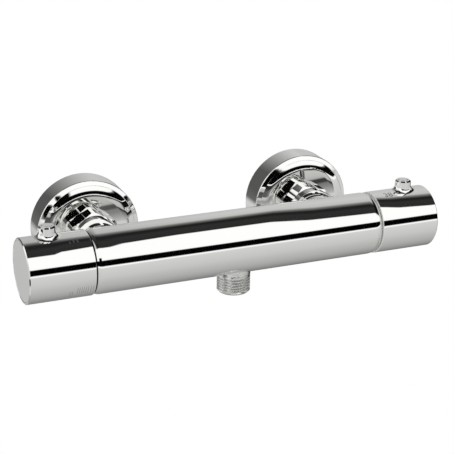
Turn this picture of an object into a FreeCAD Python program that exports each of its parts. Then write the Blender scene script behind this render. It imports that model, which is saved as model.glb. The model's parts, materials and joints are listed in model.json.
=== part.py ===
"""Thermostatic shower valve: a chromed bar with a thermostat and a flow valve, on two wall unions.

Every piece is drawn about the bar's own axis (X to the right, Y to the wall, Z up, millimetres).
export() then moves it so that the origin lies on the wall, midway between the two wall threads.
"""
import FreeCAD, Part
import math
import os

from FreeCAD import Vector

# ---- driving dimensions -------------------------------------------------------------------------

# the bar and its two ends
bar_diameter = 39.5
boss_edge_to_seam = 3.4
body_end_fall = 1.3
body_end_ease = 4.5
seam_gap = 0.5
handle_length = 39.7
handle_wall = 2.15
handle_edge_bevel = 0.6
handle_seam_round = 0.25

# where the bar sits
inlet_spacing = 150.0
wall_to_axis = 76.7
inlet_drop = 4.2
union_eccentricity = 5.0

# pegs and their buttons
peg_place = 23.5
peg_diameter = 10.0
peg_height = 6.55
peg_base_round = 3.6
peg_edge_bevel = 0.8
button_diameter = 6.3
button_rise = 0.35
button_travel = 2.2
button_arm_width = 4.6
button_arm_thickness = 1.85
button_spring_length = 5.0

# threads, as plain cylinders of their outer diameter
half_inch_thread = 20.955
three_quarter_thread = 26.441
outlet_reach = 12.6
wall_thread_length = 18.0

# hose outlet
outlet_depth = 5.6
outlet_bore = 13.0
outlet_key_depth = 11.0
outlet_runout = 0.6
outlet_runout_depth = 0.9
outlet_seal_thickness = 1.2

# wall unions
flange_diameter = 66.8
flange_depth = 16.6
flange_rise = 3.5
flange_bevel_width = 7.4
flange_bevel_rise = 3.2
flange_shoulder_round = 12.0
flange_wall = 1.2
flange_edge_round = 0.7
flange_step_place = 3.0
flange_step_height = 0.25
flange_hub_length = 7.0
crank_place = 5.0
crank_length = 6.0
crank_bore_step = 0.5
nut_across_flats = 30.0
nut_corner_diameter = 33.4
nut_hex_length = 10.2
nut_cone_length = 5.4
nut_cone_diameter = 27.6
nut_edge_round = 0.5
nut_lip = 2.0
nut_gap = 0.4
washer_thickness = 2.0
washer_margin = 1.4
nipple_collar = 2.5
nipple_thread_length = 12.0
boss_diameter = 31.2
boss_reach = 39.9
boss_edge_round = 1.0
union_bore = 16.0
filter_depth = 7.0
filter_wall = 0.6

# water ways in the body
mixed_gallery = 10.0
hot_gallery = 6.4
hot_gallery_cover = 2.35
outlet_gallery = 7.6
outlet_gallery_cover = 3.75
chamber_wall = 4.75

# thermostat
cartridge_depth = 8.0
cartridge_wall = 5.0
cartridge_waist = 2.4
cartridge_land = 3.4
cartridge_hot_land = 4.6
cartridge_cold_land = 5.5
cartridge_nose = 2.0
cartridge_seat = 1.5
cartridge_nut_length = 4.6
nut_slot_depth = 2.0
nut_slot_width = 3.0
shuttle_place = 12.0
shuttle_length = 10.0
shuttle_wall = 1.6
shuttle_web = 1.6
shuttle_web_place = 4.5
shuttle_hole_diameter = 2.4
hot_gap = 1.4
cold_gap = 0.9
port_width = 2.4
port_height = 5.2
port_count = 6
element_diameter = 9.0
element_length = 13.5
element_rim = 1.4
pin_diameter = 3.0
regulating_thread = 12.0
screw_cup_diameter = 15.2
screw_cup_length = 7.8
screw_cup_wall = 1.5
screw_cup_floor = 1.6
screw_travel = 1.5
plunger_flange = 1.2
spindle_sleeve_diameter = 16.2
spindle_sleeve_length = 14.9
spindle_sleeve_floor = 1.6
spindle_journal = 9.0
bonnet_neck_wall = 4.4
bonnet_neck_length = 3.0
bonnet_shoulder = 3.0

# ceramic headwork
headwork_depth = 30.0
headwork_barrel = 18.4
headwork_barrel_length = 15.0
headwork_window_length = 3.4
headwork_window_width = 7.2
headwork_relief = 2.3
headwork_flange = 24.8
headwork_flange_length = 2.0
headwork_flats = 19.0
headwork_hex_length = 5.0
headwork_neck_wall = 2.2
seat_seal_length = 2.0
disc_diameter = 16.0
disc_thickness = 3.0
disc_rim = 1.6
disc_groove_depth = 1.0
disc_groove_width = 2.4
fork_length = 5.6
fork_play = 0.4
flow_journal = 10.0

# seal rings and clips
cartridge_seal = 1.5
spindle_seal = 0.9
temperature_seal_place = 3.6
temperature_seal_pitch = 2.8
flow_seal_place = 5.0
flow_seal_pitch = 4.0
clip_thickness = 1.0
clip_depth = 0.7
clip_rise = 1.2
clip_opening = 2.8

# handle fastening
spline_place = 11.6
spline_length = 6.6
spline_diameter = 8.0
spline_teeth = 20
spline_depth = 0.5
spline_tooth_width = 0.6
screw_diameter = 4.0
screw_length = 8.0
screw_head_diameter = 7.5
screw_head_height = 3.4
insert_place = 7.5
insert_overhang = 8.5
insert_wall = 2.0
insert_hub_wall = 2.4
insert_web = 3.0
rib_place = 4.0
rib_thickness = 1.6
shelf_thickness = 2.2
shelf_width = 6.4
arm_overhang = 1.2
arm_tail = 0.25
stop_ring_depth = 3.4
cap_rim = 1.15
cap_thickness = 2.0
cap_bevel = 0.35
cap_spigot_length = 3.2
cap_spigot_wall = 2.0

# check valves
check_bore = 13.2
check_length = 16.0
check_seat_width = 1.6
check_seat_place = 2.4
check_seat_slope = 0.9
check_spider = 2.2
stem_diameter = 2.4
poppet_thickness = 1.8
poppet_rim_gap = 0.9

# clearances
running_fit = 0.05
seated_fit = 0.02
free_gap = 0.3
over = 1.0

# ---- sizes worked out from them -----------------------------------------------------------------

# the bar
bar_radius = bar_diameter / 2
boss_radius = boss_diameter / 2
body_end = inlet_spacing / 2 + boss_radius + boss_edge_to_seam
handle_start = body_end + seam_gap
handle_end = handle_start + handle_length
handle_bore = bar_radius - handle_wall
peg_x = handle_start + peg_place
peg_top = bar_radius + peg_height
button_radius = button_diameter / 2

# threads and unions, measured from the bar's axis to the wall
thread_radius = half_inch_thread / 2
union_thread_radius = three_quarter_thread / 2
flange_radius = flange_diameter / 2
flange_front = wall_to_axis - flange_depth
flange_hub_radius = union_thread_radius + running_fit
flange_shoulder = flange_radius - flange_bevel_width
nut_wall_end = flange_front - flange_rise - nut_gap
nut_hex_start = nut_wall_end - nut_hex_length
nut_bar_end = nut_hex_start - nut_cone_length
collar_face = nut_bar_end + nut_lip
washer_face = collar_face + nipple_collar
union_face = washer_face + washer_thickness
nipple_thread_end = boss_reach - nipple_thread_length
outlet_ledge = bar_radius - outlet_depth
hot_gallery_depth = bar_radius - hot_gallery_cover - hot_gallery / 2
outlet_gallery_drop = bar_radius - outlet_gallery_cover - outlet_gallery / 2

# check valves, measured the same way
stem_radius = stem_diameter / 2
check_start = washer_face - check_length
check_seat = washer_face - check_seat_place - check_seat_slope
poppet_back = check_seat - poppet_thickness

# thermostat, along the bar from its end inwards
chamber_radius = bar_radius - chamber_wall
housing_bore = chamber_radius - cartridge_wall
land_radius = chamber_radius - seated_fit
housing_end = body_end - cartridge_depth
sleeve_end = housing_end + bonnet_shoulder / 2
sleeve_start = sleeve_end - spindle_sleeve_length
screw_end = sleeve_end - spindle_sleeve_floor - screw_travel
cup_end = sleeve_start - free_gap - screw_travel
cup_floor = cup_end - screw_cup_floor
screw_start = cup_end - screw_cup_length
plunger_face = screw_start + plunger_flange + free_gap
pin_end = screw_start + 2 * screw_travel
cold_seat = screw_start - screw_travel - free_gap
shuttle_end = cold_seat - cold_gap
shuttle_start = shuttle_end - shuttle_length
hot_seat = shuttle_start - hot_gap
web_start = shuttle_start + shuttle_web_place
chamber_start = shuttle_start - shuttle_place
housing_start = chamber_start + over
hot_land = hot_seat + port_width + free_gap
cold_land = housing_end - cartridge_cold_land
element_radius = element_diameter / 2
pin_radius = pin_diameter / 2
screw_cup = screw_cup_diameter / 2
sleeve_radius = spindle_sleeve_diameter / 2
neck_radius = spindle_journal / 2 + bonnet_neck_wall
neck_end = body_end + bonnet_neck_length
nut_start = housing_end + bonnet_shoulder
temperature_seal_places = [housing_end + temperature_seal_place,
                           housing_end + temperature_seal_place + temperature_seal_pitch]
cartridge_seal_places = [housing_start + cartridge_land / 2, hot_land + cartridge_hot_land / 2,
                         cold_land + cartridge_cold_land / 2]

# headwork, along the bar
headwork_seat = body_end - headwork_depth
fixed_disc_start = headwork_seat + seat_seal_length
moving_disc_start = fixed_disc_start + disc_thickness
fork_start = moving_disc_start + disc_thickness
fork_end = fork_start + fork_length
window_end = fork_start + fork_play + headwork_window_length
headwork_thread_start = headwork_seat + headwork_barrel_length
flow_seal_places = [fork_end + flow_seal_place, fork_end + flow_seal_place + flow_seal_pitch]

# handle fastening, along the bar
spline_start = body_end + spline_place
spline_end = spline_start + spline_length
spline_radius = spline_diameter / 2
temperature_clip = neck_end + running_fit
flow_clip = spline_start - clip_thickness - free_gap
hub_radius = spline_radius + insert_hub_wall
hub_end = spline_end + free_gap
insert_radius = handle_bore - seated_fit
insert_start = body_end + insert_place
insert_end = peg_x + insert_overhang
web_end = hub_end + insert_web
cap_ledge = handle_end - cap_thickness
cap_radius = bar_radius - cap_rim
arm_start = insert_start - arm_overhang
arm_high = handle_bore - 1.5 * free_gap
arm_low = arm_high - button_arm_thickness
arm_end = peg_x + button_radius + arm_tail
shelf_top = arm_low - button_spring_length
stop_outer = handle_bore - 2 * free_gap
stop_base = body_end + stop_ring_depth

origin = Vector(0, 0, 0)
along_x = Vector(1, 0, 0)
made = {}


# ---- drawing helpers ----------------------------------------------------------------------------

def outline(corners):
    """A closed face through corners (along, radius[, rounding]), arcs drawn where a rounding is given."""
    points = [Vector(c[0], 0, c[1]) for c in corners]
    entries = []
    exits = []
    arcs = []
    for i, corner in enumerate(corners):
        here = points[i]
        rounding = corner[2] if len(corner) > 2 else 0
        if not rounding:
            entries.append(here)
            exits.append(here)
            arcs.append(None)
            continue
        back = (points[i - 1] - here).normalize()
        ahead = (points[(i + 1) % len(points)] - here).normalize()
        half = back.getAngle(ahead) / 2
        reach = rounding / math.tan(half)
        middle = (back + ahead).normalize()
        centre = here + middle * (rounding / math.sin(half))
        start = here + back * reach
        finish = here + ahead * reach
        entries.append(start)
        exits.append(finish)
        arcs.append(Part.Arc(start, centre - middle * rounding, finish).toShape())
    edges = []
    for i in range(len(points)):
        if arcs[i]:
            edges.append(arcs[i])
        following = entries[(i + 1) % len(points)]
        if (following - exits[i]).Length > 1e-6:
            edges.append(Part.makeLine(exits[i], following))
    return Part.Face(Part.Wire(edges))


def turned(corners):
    """A solid turned about the bar's axis from corners (x, radius[, rounding])."""
    return outline(corners).revolve(origin, along_x, 360)


def tube(start, end, outer, inner=0.0):
    """A plain tube or disc about the bar's axis, between two places along it."""
    return turned([(start, inner), (start, outer), (end, outer), (end, inner)])


def rings(places, radius, thickness):
    """Round seal rings about the bar's axis, one at each place, as one group."""
    made_rings = []
    for place in places:
        wire = Part.makeCircle(thickness / 2, Vector(place, 0, radius), Vector(0, 1, 0))
        made_rings.append(Part.Face(Part.Wire(wire)).revolve(origin, along_x, 360))
    return Part.makeCompound(made_rings)


def groove(place, width, radius, depth):
    """What is cut from a round piece of this radius to leave a groove centred on a place."""
    return tube(place - width / 2, place + width / 2, radius + over, radius - depth)


def upright(shape, x):
    """Turns a shape drawn along X to run up Z, at x along the bar."""
    moved = shape.copy()
    moved.rotate(origin, Vector(0, 1, 0), -90)
    moved.translate(Vector(x, 0, 0))
    return moved


def inlet_axis(shape, side):
    """Puts a shape drawn along X, measured from the bar's axis, on an inlet's axis towards the wall."""
    moved = shape.copy()
    moved.rotate(origin, Vector(0, 0, 1), 90)
    moved.translate(Vector(side * inlet_spacing / 2, 0, -inlet_drop))
    return moved


def block(x_low, x_high, half_width, z_low, z_high):
    """A box centred on the bar's middle plane."""
    return Part.makeBox(x_high - x_low, 2 * half_width, z_high - z_low, Vector(x_low, -half_width, z_low))


def turned_by(shape, angle):
    """A copy of a shape turned about the bar's axis."""
    copy = shape.copy()
    copy.rotate(origin, along_x, angle)
    return copy


def around(shape, count, start_angle=0.0):
    """Copies of a shape spaced evenly about the bar's axis, as a list."""
    return [turned_by(shape, start_angle + 360.0 * i / count) for i in range(count)]


def hexagon(start, end, across_flats, corner_diameter, angle=0.0):
    """A hexagonal bar about the bar's axis with its corners turned down to a diameter."""
    radius = across_flats / math.sqrt(3)
    points = []
    for i in range(7):
        turn = math.radians(angle + 60 * i)
        points.append(Vector(start, radius * math.cos(turn), radius * math.sin(turn)))
    prism = Part.Face(Part.makePolygon(points)).extrude(Vector(end - start, 0, 0))
    depth = (corner_diameter - across_flats) / 2 * math.tan(math.radians(30))
    corners = [(start, 0), (start, across_flats / 2), (start + depth, corner_diameter / 2),
               (end - depth, corner_diameter / 2), (end, across_flats / 2), (end, 0)]
    return prism.common(turned(corners))


def coil(start, end, radius, wire, turns):
    """A helical spring about the bar's axis, of six-sided wire, that stays between start and end."""
    length = end - start - wire
    path = Part.makeHelix(length / turns, length, radius)
    corners = []
    for i in range(7):
        turn = math.radians(60 * i)
        corners.append(Vector(radius + wire / 2 * math.sin(turn), 0, wire / 2 * math.cos(turn)))
    section = Part.Wire(Part.makePolygon(corners))
    spring = Part.Wire(path.Edges).makePipeShell([section], True, True)
    spring.rotate(origin, Vector(0, 1, 0), 90)
    spring.translate(Vector(start + wire / 2, 0, 0))
    return spring


def export(name, shape, side=1):
    """Moves a piece into the wall's frame and keeps it; side -1 puts it on the left by mirroring."""
    if side < 0:
        shape = shape.mirror(origin, along_x)
    shape = shape.copy()
    shape.translate(Vector(0, -wall_to_axis, inlet_drop - union_eccentricity))
    made[name] = shape


# ---- the body -----------------------------------------------------------------------------------

def valve_body():
    """The brass bar with its two bosses, and the bores and galleries that the water takes."""
    bend = body_end_ease / 2
    bend_round = bend / math.tan(math.atan(body_end_fall / bend) / 2)
    end_radius = bar_radius - body_end_fall
    bar = turned([(-body_end, 0), (-body_end, end_radius), (bend - body_end, bar_radius, bend_round),
                  (body_end - bend, bar_radius, bend_round), (body_end, end_radius), (body_end, 0)])
    boss = turned([(0, 0), (0, boss_radius), (boss_reach, boss_radius, boss_edge_round), (boss_reach, 0)])
    solid = bar.fuse([inlet_axis(boss, 1), inlet_axis(boss, -1)]).removeSplitter()
    chamber = tube(chamber_start, body_end + over, chamber_radius)
    mixed = tube(-headwork_seat - over, chamber_start + over, mixed_gallery / 2)
    thread = tube(-body_end - over, -headwork_thread_start, thread_radius + seated_fit)
    barrel = tube(-headwork_thread_start - over, -headwork_seat, headwork_barrel / 2 + seated_fit)
    relief = tube(over - headwork_thread_start, over - window_end, headwork_barrel / 2 + headwork_relief)
    hot_way = Part.makeCylinder(hot_gallery / 2, inlet_spacing / 2 + hot_seat - hot_gallery / 2,
                                Vector(-inlet_spacing / 2, hot_gallery_depth, -inlet_drop), along_x)
    outlet_way = Part.makeCylinder(outlet_gallery / 2, fork_end,
                                   Vector(-fork_end, 0, -outlet_gallery_drop), along_x)
    cuts = [chamber, mixed, thread, barrel, relief, hot_way, outlet_way]
    socket = tube(nipple_thread_end, boss_reach + over, thread_radius + seated_fit)
    cold_bore = tube(chamber_radius / 2, nipple_thread_end + over, union_bore / 2)
    hot_bore = tube(hot_gallery_depth - hot_gallery / 4, nipple_thread_end + over, union_bore / 2)
    cuts += [inlet_axis(socket, 1), inlet_axis(socket, -1), inlet_axis(cold_bore, 1), inlet_axis(hot_bore, -1)]
    cuts.append(upright(tube(-bar_radius - over, -outlet_ledge, thread_radius + seated_fit), 0))
    cuts.append(upright(tube(-outlet_ledge - over, -outlet_gallery_drop, outlet_bore / 2), 0))
    return solid.cut(cuts)


def outlet_nipple():
    """The hose's threaded tube, with the hexagonal hole that a key turns it by."""
    top = -outlet_ledge - outlet_seal_thickness
    bottom = -bar_radius - outlet_reach
    lead = 1.1
    neck = thread_radius - outlet_runout_depth
    neck_low = -bar_radius - outlet_runout
    blank = turned([(bottom, 0), (bottom, thread_radius - lead), (bottom + lead, thread_radius),
                    (neck_low, thread_radius), (neck_low, neck), (-bar_radius, neck),
                    (-bar_radius, thread_radius), (top, thread_radius), (top, 0)])
    key = hexagon(bottom - over, bottom + outlet_key_depth, outlet_bore - 1, outlet_bore + 1)
    way = tube(bottom - over, top + over, outlet_bore / 2 - 1.2)
    return upright(blank.cut([key, way]), 0)


def outlet_seal():
    """The flat ring between the nipple's top and the body."""
    low = -outlet_ledge - outlet_seal_thickness
    return upright(tube(low, -outlet_ledge, thread_radius - free_gap, outlet_bore / 2), 0)


# ---- wall unions --------------------------------------------------------------------------------

def plate_front(radius):
    """How far out from the bar's axis the cover plate's face lies at a radius."""
    if radius > flange_shoulder:
        return flange_front - flange_bevel_rise * (flange_radius - radius) / flange_bevel_width
    flat = (flange_shoulder - radius) / (flange_shoulder - flange_hub_radius)
    return flange_front - flange_bevel_rise - (flange_rise - flange_bevel_rise) * flat


def wall_flange():
    """A pressed cover plate: a straight rim, a stepped edge ring, a bevelled face and a threaded hub."""
    collar = flange_hub_radius + flange_wall
    hub_end = plate_front(flange_hub_radius) + flange_hub_length
    step = flange_radius - flange_step_place
    inner_rim = flange_radius - flange_wall
    front = [(plate_front(flange_hub_radius), flange_hub_radius),
             (plate_front(flange_shoulder), flange_shoulder, flange_shoulder_round),
             (plate_front(step), step),
             (plate_front(step) - flange_step_height, step + flange_step_height),
             (flange_front, flange_radius, flange_edge_round)]
    back = [(wall_to_axis, flange_radius), (wall_to_axis, inner_rim),
            (plate_front(inner_rim) + 1.5 * flange_wall, inner_rim),
            (plate_front(flange_shoulder) + flange_wall, flange_shoulder, flange_shoulder_round - flange_wall),
            (plate_front(collar) + flange_wall, collar), (hub_end, collar), (hub_end, flange_hub_radius)]
    return turned(front + back)


def straight_leg(start, end, radius, lift, lead=0.0):
    """A straight stretch of a union, raised by lift, its far end tapered by lead."""
    shape = turned([(start, 0), (start, radius), (end - lead, radius), (end, radius - lead), (end, 0)])
    shape.translate(Vector(0, 0, lift))
    return shape


def slanted_leg(start, end, start_radius, end_radius):
    """The stretch of a union that leads from the nut's axis to the pipe's axis."""
    low = Part.makeCircle(start_radius, Vector(start, 0, 0), along_x)
    high = Part.makeCircle(end_radius, Vector(end, 0, union_eccentricity), along_x)
    return Part.makeLoft([Part.Wire(low), Part.Wire(high)], True, True)


def eccentric_union():
    """The cranked union between the pipe in the wall and the nut, drawn on the nut's axis."""
    crank_start = flange_front + crank_place
    crank_end = crank_start + crank_length
    wall_end = wall_to_axis + wall_thread_length
    wide = union_bore / 2
    narrow = wide - crank_bore_step
    outer = straight_leg(union_face, crank_start, union_thread_radius, 0)
    outer = outer.fuse([slanted_leg(crank_start, crank_end, union_thread_radius, thread_radius),
                        straight_leg(crank_end, wall_end, thread_radius, union_eccentricity, 1.2)])
    bore = straight_leg(union_face - over, crank_start, wide, 0)
    bore = bore.fuse([slanted_leg(crank_start, crank_end, wide, narrow),
                      straight_leg(crank_end, wall_end + over, narrow, union_eccentricity)])
    return outer.cut(bore)


def union_nut(angle):
    """The chromed nut: a hexagon, a cone towards the bar and a lip that pulls on the nipple's collar."""
    shape = hexagon(nut_hex_start, nut_wall_end, nut_across_flats, nut_corner_diameter, angle)
    cone = turned([(nut_bar_end, 0), (nut_bar_end, nut_cone_diameter / 2, nut_edge_round),
                   (nut_hex_start, nut_across_flats / 2), (nut_hex_start, 0)])
    bore = tube(collar_face, nut_wall_end + over, union_thread_radius + running_fit)
    neck = tube(nut_bar_end - over, collar_face + over, thread_radius + free_gap)
    return shape.fuse(cone).cut([bore, neck])


def inlet_nipple():
    """The collared tube that is screwed into a boss and holds its nut."""
    collar = union_thread_radius - 1.2
    shape = turned([(nipple_thread_end, 0), (nipple_thread_end, thread_radius), (collar_face, thread_radius),
                    (collar_face, collar), (washer_face, collar), (washer_face, 0)])
    return shape.cut(tube(nipple_thread_end - over, washer_face + over, union_bore / 2))


def inlet_washer():
    """The flat fibre ring that seals the union."""
    return tube(washer_face, union_face, union_thread_radius - washer_margin, union_bore / 2 + filter_wall)


def inlet_filter():
    """A thimble of fine mesh that keeps grit out, with a rim inside the washer."""
    rim = union_bore / 2 + filter_wall - running_fit
    wall = union_bore / 2 - free_gap
    rim_end = union_face - 0.4
    tip = union_face + filter_depth
    return turned([(washer_face, wall - filter_wall), (washer_face, rim), (rim_end, rim), (rim_end, wall),
                   (tip, wall - 1, 0.6), (tip, 0), (tip - filter_wall, 0),
                   (tip - filter_wall, wall - 1 - filter_wall)])


def check_housing():
    """The plastic sleeve of a check valve, with its seat and the spider that guides the stem."""
    inner = check_bore / 2
    outer = union_bore / 2 - seated_fit
    lip = inner - check_seat_width
    spider_end = check_start + check_spider
    sleeve = turned([(check_start, inner), (check_start, outer), (washer_face, outer), (washer_face, lip),
                     (check_seat + check_seat_slope, lip), (check_seat, inner)])
    disc = tube(check_start, spider_end, inner + running_fit, stem_radius + running_fit)
    window = tube(check_start - over, spider_end + over, inner - 0.8, 2.4 * stem_radius)
    arm = block(check_start - 2 * over, spider_end + 2 * over, 0.9, -inner, inner)
    openings = window.cut([arm, turned_by(arm, 90)])
    return sleeve.fuse(disc.cut(openings))


def check_poppet():
    """The mushroom that the water pushes off its seat."""
    head = check_bore / 2 - poppet_rim_gap
    nose = check_seat + 0.5
    stem_end = check_start + 0.4
    return turned([(stem_end, 0), (stem_end, stem_radius), (poppet_back, stem_radius), (poppet_back, head),
                   (check_seat, head), (nose, head - 1), (nose, 0)])


def check_spring():
    """The light coil between the spider and the poppet."""
    return coil(check_start + check_spider, poppet_back, 2.2 * stem_radius, 0.5, 4)


# ---- thermostat ---------------------------------------------------------------------------------

def cartridge_housing():
    """The cartridge's sleeve: three lands with seal grooves and two rings of ports."""
    waist = chamber_radius - cartridge_waist
    mouth = mixed_gallery / 2 + 1
    seat_bore = housing_bore - cartridge_seat
    nose = housing_start + cartridge_nose
    shape = turned([(housing_start, mouth), (housing_start, land_radius),
                    (housing_start + cartridge_land, land_radius), (housing_start + cartridge_land, waist),
                    (hot_land, waist), (hot_land, land_radius), (hot_land + cartridge_hot_land, land_radius),
                    (hot_land + cartridge_hot_land, waist), (cold_land, waist), (cold_land, land_radius),
                    (housing_end, land_radius), (housing_end, housing_bore), (hot_seat, housing_bore),
                    (hot_seat, seat_bore), (nose, seat_bore), (nose, mouth)])
    hot_port = block(hot_seat, hot_seat + port_width, port_height / 2, housing_bore - over, chamber_radius)
    cold_port = block(cold_seat - port_width, cold_seat, port_height / 2, housing_bore - over, chamber_radius)
    ports = around(hot_port, port_count) + around(cold_port, port_count)
    grooves = [groove(place, cartridge_seal + 0.5, land_radius, cartridge_seal) for place in cartridge_seal_places]
    return shape.cut(ports + grooves)


def cartridge_bonnet():
    """The brass piece that closes the housing, guides the screw and carries the spindle."""
    outer = housing_bore - seated_fit
    cup_bore = screw_cup + running_fit
    sleeve_bore = sleeve_radius + running_fit
    journal_bore = spindle_journal / 2 + running_fit
    return turned([(cold_seat, cup_bore), (cold_seat, outer), (housing_end, outer), (housing_end, land_radius),
                   (nut_start, land_radius), (nut_start, neck_radius), (neck_end, neck_radius),
                   (neck_end, journal_bore), (sleeve_end + running_fit, journal_bore),
                   (sleeve_end + running_fit, sleeve_bore), (sleeve_start - free_gap, sleeve_bore),
                   (sleeve_start - free_gap, cup_bore)])


def cartridge_nut():
    """The slotted ring that holds the cartridge in its chamber."""
    inner = neck_radius + free_gap / 2
    end = nut_start + cartridge_nut_length
    slot = block(end - nut_slot_depth, end + over, nut_slot_width / 2, 0, (inner + land_radius) / 2)
    return tube(nut_start, end, land_radius, inner).cut(around(slot, 4, 45))


def regulating_shuttle():
    """The ring that slides between the hot and the cold seat, with a pierced web for the element."""
    outer = housing_bore - running_fit
    inner = outer - shuttle_wall
    web = tube(web_start, web_start + shuttle_web, inner + running_fit, element_radius + seated_fit)
    hole = Part.makeCylinder(shuttle_hole_diameter / 2, shuttle_web + 2 * over,
                             Vector(web_start - over, 0, (inner + element_radius) / 2), along_x)
    return tube(shuttle_start, shuttle_end, outer, inner).fuse(web.cut(around(hole, 8)))


def wax_element():
    """The thermostat element: a bulb in the mixed water, a rim on the web and its push pin."""
    bulb_start = web_start + 1 - element_length
    rim = element_radius + element_rim
    rim_start = web_start + shuttle_web
    guide_end = shuttle_end + 1.5
    return turned([(bulb_start, 0), (bulb_start, element_radius, 1.2), (rim_start, element_radius),
                   (rim_start, rim), (rim_start + shuttle_web, rim), (rim_start + shuttle_web, 2 * pin_radius),
                   (guide_end, 1.6 * pin_radius), (guide_end, pin_radius), (pin_end, pin_radius), (pin_end, 0)])


def return_spring():
    """The coil that pushes the shuttle back towards the cold seat."""
    return coil(housing_start + cartridge_nose, web_start, element_radius + 2.1, 1.1, 4)


def regulating_screw():
    """The screw that the spindle drives in and out; its cup holds the overload spring."""
    shank = regulating_thread / 2 - running_fit
    inner = screw_cup - screw_cup_wall
    return turned([(screw_start, inner), (screw_start, screw_cup), (cup_end, screw_cup), (cup_end, shank),
                   (screw_end, shank), (screw_end, 0), (cup_floor, 0), (cup_floor, inner)])


def overload_plunger():
    """The flanged cap in which the element's pin bears."""
    face = plunger_face - plunger_flange
    flange = screw_cup - screw_cup_wall - free_gap
    bore = pin_radius + running_fit
    cap = pin_radius + 1.1
    return turned([(face, bore), (face, flange), (plunger_face, flange), (plunger_face, cap),
                   (pin_end + 1, cap), (pin_end + 1, 0), (pin_end, 0), (pin_end, bore)])


def overload_spring():
    """The stiff coil in the screw's cup, which gives way if the element grows too far."""
    return coil(plunger_face, cup_floor, screw_cup - screw_cup_wall - 1.4, 1.2, 3)


def clip_and_seal_grooves(places, clip_place, journal):
    """What is cut from a spindle's journal for its seal rings and its clip."""
    cuts = [groove(place, spindle_seal + 0.7, journal, spindle_seal + 0.1) for place in places]
    cuts.append(groove(clip_place + clip_thickness / 2, clip_thickness, journal, clip_depth))
    return cuts


def toothed_end():
    """What is cut from a spindle's end: the notches that the handle's insert grips and the screw's bore."""
    notch = block(spline_start - over, spline_end + over, spline_tooth_width / 2,
                  spline_radius - spline_depth, spline_radius + over)
    bore = tube(spline_end - screw_length - over, spline_end + over, screw_diameter / 2 + seated_fit)
    return around(notch, spline_teeth) + [bore]


def temperature_spindle():
    """The spindle: a sleeve with the inside thread, a journal with seal grooves and a toothed end."""
    journal = spindle_journal / 2
    thread = regulating_thread / 2
    floor = sleeve_end - spindle_sleeve_floor
    shape = turned([(sleeve_start, thread), (sleeve_start, sleeve_radius), (sleeve_end, sleeve_radius),
                    (sleeve_end, journal), (spline_start - over, journal), (spline_start, spline_radius),
                    (spline_end, spline_radius), (spline_end, 0), (floor, 0), (floor, thread)])
    grooves = clip_and_seal_grooves(temperature_seal_places, temperature_clip, journal)
    return shape.cut(grooves + toothed_end())


def spindle_seals(places, journal):
    """Seal rings in a spindle's grooves, as one group."""
    return rings(places, journal - spindle_seal / 2 - running_fit, spindle_seal)


def spindle_clip(place, journal):
    """An open clip ring in a spindle's groove."""
    shape = tube(place + seated_fit, place + clip_thickness - seated_fit, journal + clip_rise,
                 journal - clip_depth + seated_fit)
    opening = block(place - over, place + clip_thickness + over, clip_opening / 2, 0, journal + 2 * clip_rise)
    return shape.cut(opening)


# ---- ceramic flow headwork, drawn to the right and mirrored -------------------------------------

def headwork_body():
    """The screwed brass body of the flow valve, with side windows above the discs."""
    barrel = headwork_barrel / 2
    flange = headwork_flange / 2
    neck = flow_journal / 2 + headwork_neck_wall
    hex_start = body_end + headwork_flange_length
    neck_stop = flow_clip - running_fit
    shape = turned([(fixed_disc_start, 0), (fixed_disc_start, barrel), (headwork_thread_start, barrel),
                    (headwork_thread_start, thread_radius), (body_end, thread_radius), (body_end, flange),
                    (hex_start, flange), (hex_start, neck), (neck_stop, neck), (neck_stop, 0)])
    spanner = hexagon(hex_start, hex_start + headwork_hex_length, headwork_flats, headwork_flats * 1.12)
    cavity = tube(fixed_disc_start - over, fork_end + free_gap, disc_diameter / 2 + running_fit)
    bore = tube(fork_end, neck_stop + over, flow_journal / 2 + running_fit)
    window = block(fork_start + fork_play, window_end, headwork_window_width / 2, 0, barrel + over)
    return shape.fuse(spanner).cut([cavity, bore] + around(window, 4, 45))


def ceramic_disc(start, angle):
    """A ceramic disc with two opposite openings."""
    end = start + disc_thickness - seated_fit
    opening = disc_diameter / 2 - disc_rim
    wedge = Part.makeCylinder(opening, end - start + 2 * over, Vector(start - over, 0, 0), along_x, 80)
    wedge = wedge.cut(tube(start - 2 * over, end + 2 * over, 1.4))
    return tube(start, end, disc_diameter / 2).cut([turned_by(wedge, angle), turned_by(wedge, angle + 180)])


def moving_disc():
    """The disc that turns with the spindle, with a groove across its back for the fork."""
    across = block(fork_start - disc_groove_depth, fork_start + over, disc_groove_width / 2,
                   -disc_diameter, disc_diameter)
    return ceramic_disc(moving_disc_start, 5).cut(turned_by(across, 45))


def seat_seal():
    """The rubber bush that the water pressure holds against the fixed disc."""
    return tube(headwork_seat, fixed_disc_start, headwork_barrel / 2 - 0.5, mixed_gallery / 2 + free_gap)


def flow_spindle():
    """The flow spindle: a forked foot, a journal with seal grooves and a toothed end."""
    journal = flow_journal / 2
    foot = disc_diameter / 2 - running_fit
    shape = turned([(window_end, 0), (window_end, foot), (fork_end, foot), (fork_end, journal),
                    (spline_start - over, journal), (spline_start, spline_radius),
                    (spline_end, spline_radius), (spline_end, 0)])
    blade = block(fork_start - disc_groove_depth + seated_fit, window_end + running_fit,
                  disc_groove_width / 2 - seated_fit, fork_play - foot, foot - fork_play)
    grooves = clip_and_seal_grooves(flow_seal_places, flow_clip, journal)
    return shape.fuse(turned_by(blade, 45)).cut(grooves + toothed_end())


# ---- handles, drawn to the right ----------------------------------------------------------------

def is_peg_foot(edge):
    """True for the curves where the peg leaves the tube."""
    box = edge.BoundBox
    round_peg = abs(box.XLength - peg_diameter) < 0.2 and abs(box.Center.x - peg_x) < 0.2
    return round_peg and box.ZLength > 0.1 and abs(box.ZMax - bar_radius) < 0.1


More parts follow.
